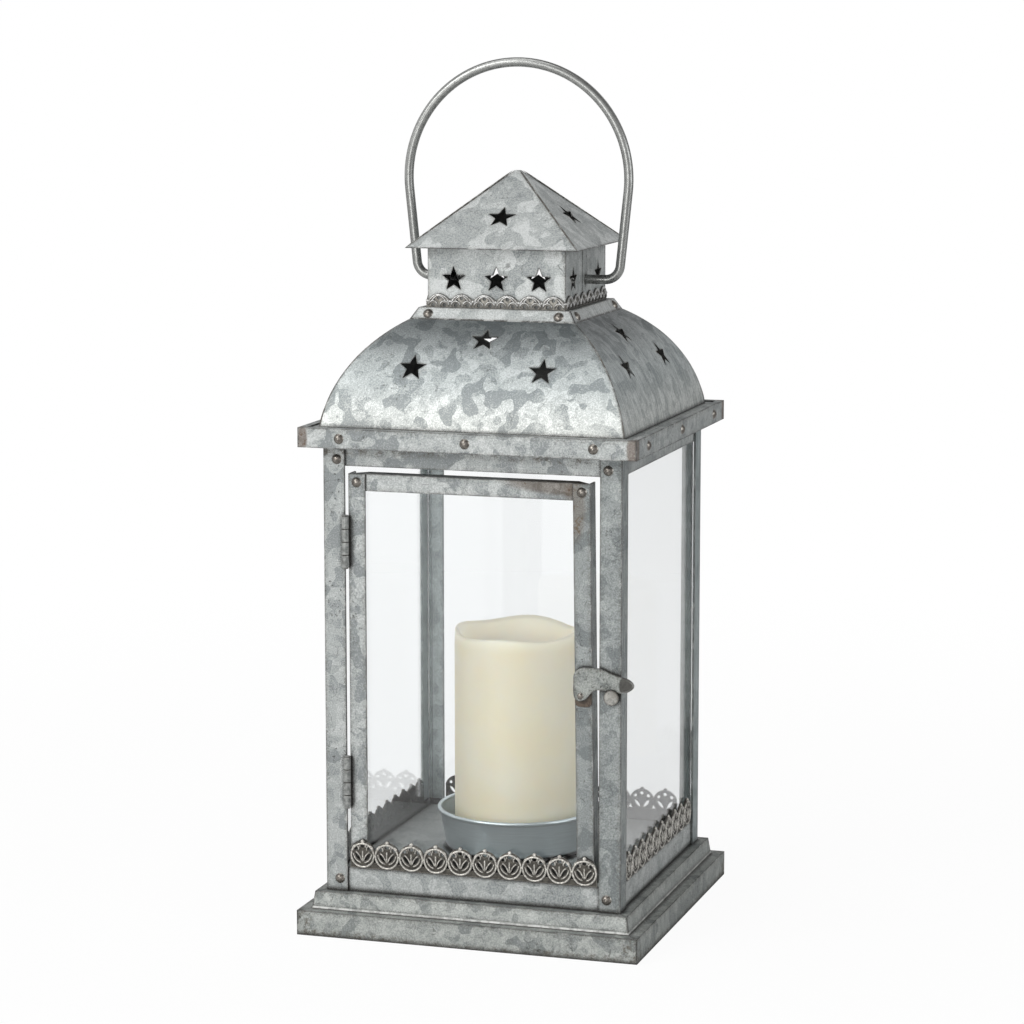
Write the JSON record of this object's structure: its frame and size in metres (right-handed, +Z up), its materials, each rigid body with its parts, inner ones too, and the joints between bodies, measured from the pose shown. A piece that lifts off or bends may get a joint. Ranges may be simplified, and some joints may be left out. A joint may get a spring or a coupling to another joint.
{
  "type": "candle lantern",
  "caption": "Square galvanised sheet lantern with a hinged glass door, star-pierced domed roof and cap, lace trim, wire bail and a flameless pillar candle in a cup.",
  "frame": {"origin": "centre of the plinth's underside, on the surface that the lantern stands on", "axes": "+Z up; the door faces -Y and is hinged on its -X side; +X is to the right of someone who faces the door"},
  "size_m": [0.208, 0.208, 0.5121],
  "materials": {
    "galvanised_sheet": "spangled galvanised sheet, mottled, with grime at the folds",
    "banding_sheet": "galvanised strip with worn bright folds and rusty cut ends",
    "pewter_trim": "antique pewter, dark in its hollows",
    "rivet_steel": "dark browned steel",
    "hinge_steel": "dull grey steel",
    "wire_steel": "speckled dull grey wire",
    "clear_glass": "clear polished pane",
    "ivory_wax": "smooth ivory wax",
    "candle_plastic": "moulded ivory plastic",
    "lamp_lens": "frosted amber lens",
    "cell_jacket": "plain metal jacket"
  },
  "bodies": {
    "frame": {"base_skirt_back": "galvanised_sheet", "base_skirt_front": "galvanised_sheet", "base_skirt_left": "galvanised_sheet", "base_skirt_right": "galvanised_sheet", "bottom_rail_back": "galvanised_sheet", "bottom_rail_front": "galvanised_sheet", "bottom_rail_left": "galvanised_sheet", "bottom_rail_right": "galvanised_sheet", "candle_cup": "galvanised_sheet", "chimney_back": "galvanised_sheet", "chimney_front": "galvanised_sheet", "chimney_lace": "pewter_trim", "collar_strips": "banding_sheet", "dome_back": "galvanised_sheet", "dome_front": "galvanised_sheet", "dome_left": "galvanised_sheet", "dome_right": "galvanised_sheet", "eave_bands": "banding_sheet", "eave_tray": "galvanised_sheet", "floor_pan": "galvanised_sheet", "frame_rivets": "rivet_steel", "glass_back": "clear_glass", "glass_left": "clear_glass", "glass_right": "clear_glass", "glass_tabs": "galvanised_sheet", "hinge_frame_leaves": "hinge_steel", "hinge_pins": "hinge_steel", "lace_back": "pewter_trim", "lace_left": "pewter_trim", "lace_right": "pewter_trim", "latch_keeper": "rivet_steel", "post_back_left": "galvanised_sheet", "post_back_right": "galvanised_sheet", "post_front_left": "galvanised_sheet", "post_front_right": "galvanised_sheet", "roof_cap": "galvanised_sheet", "top_rail_back": "galvanised_sheet", "top_rail_front": "galvanised_sheet", "top_rail_left": "galvanised_sheet", "top_rail_right": "galvanised_sheet"},
    "door": {"door_glass": "clear_glass", "door_glass_tabs": "galvanised_sheet", "door_lace": "pewter_trim", "door_rail_bottom": "galvanised_sheet", "door_rail_top": "galvanised_sheet", "door_rivets": "rivet_steel", "door_stile_hinge": "galvanised_sheet", "door_stile_latch": "galvanised_sheet", "hinge_door_leaves": "hinge_steel", "latch_backplate": "galvanised_sheet", "latch_rivet": "rivet_steel"},
    "latch": {"latch_lever": "galvanised_sheet"},
    "bail": {"bail": "wire_steel"},
    "candle": {"candle_cells": "cell_jacket", "candle_core": "candle_plastic", "candle_cover": "candle_plastic", "candle_lamp": "lamp_lens", "candle_shell": "ivory_wax"},
    "switch": {"candle_switch": "candle_plastic"}
  },
  "joints": [
    {"name": "door_hinge", "type": "hinge", "parent": "frame", "child": "door", "pos_m": [-0.07585, -0.0925, 0.157], "axis": [0, 0, -1], "range_deg": [0, 180]},
    {"name": "latch_turn", "type": "hinge", "parent": "door", "child": "latch", "pos_m": [0.06637, -0.092, 0.15205], "axis": [0, -1, 0], "range_deg": [0, 260]},
    {"name": "bail_swing", "type": "hinge", "parent": "frame", "child": "bail", "pos_m": [0, 0, 0.38281], "axis": [1, 0, 0], "range_deg": [-114, 114]},
    {"name": "candle_lift", "type": "slide", "parent": "frame", "child": "candle", "axis": [0, 0, 1], "range_m": [0, 0.033]},
    {"name": "switch_slide", "type": "slide", "parent": "candle", "child": "switch", "axis": [1, 0, 0], "range_m": [0, 0.003]}
  ]
}
